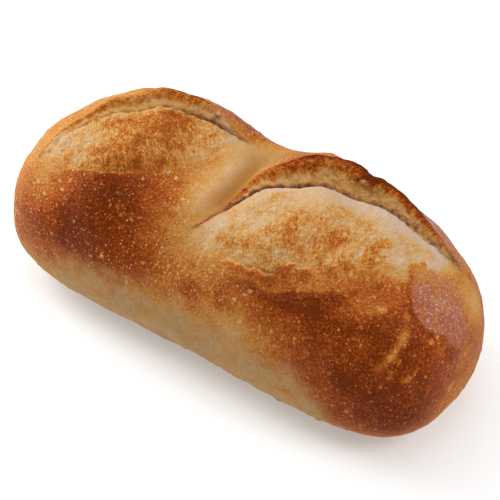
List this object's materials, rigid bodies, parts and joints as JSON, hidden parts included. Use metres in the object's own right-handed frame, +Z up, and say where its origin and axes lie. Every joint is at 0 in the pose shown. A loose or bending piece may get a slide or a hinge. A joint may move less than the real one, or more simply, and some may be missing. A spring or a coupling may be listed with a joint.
{
  "type": "sourdough batard",
  "caption": "Oval hearth-baked sourdough loaf with slanting slashes that burst open, lifted crust ears, a low waist between them and a flat base.",
  "frame": {"origin": "centre of the loaf's plan, on the hearth that its flat base rests on", "axes": "+X along the loaf, towards its narrower end; +Y across it, towards the side that the ears lean to; +Z up"},
  "size_m": [0.26, 0.1322, 0.102],
  "materials": {
    "crust": "baked bread crust: satin golden to dark brown with pale blisters, dull pale burst and foot"
  },
  "bodies": {
    "root": {"loaf": "crust"}
  },
  "joints": []
}
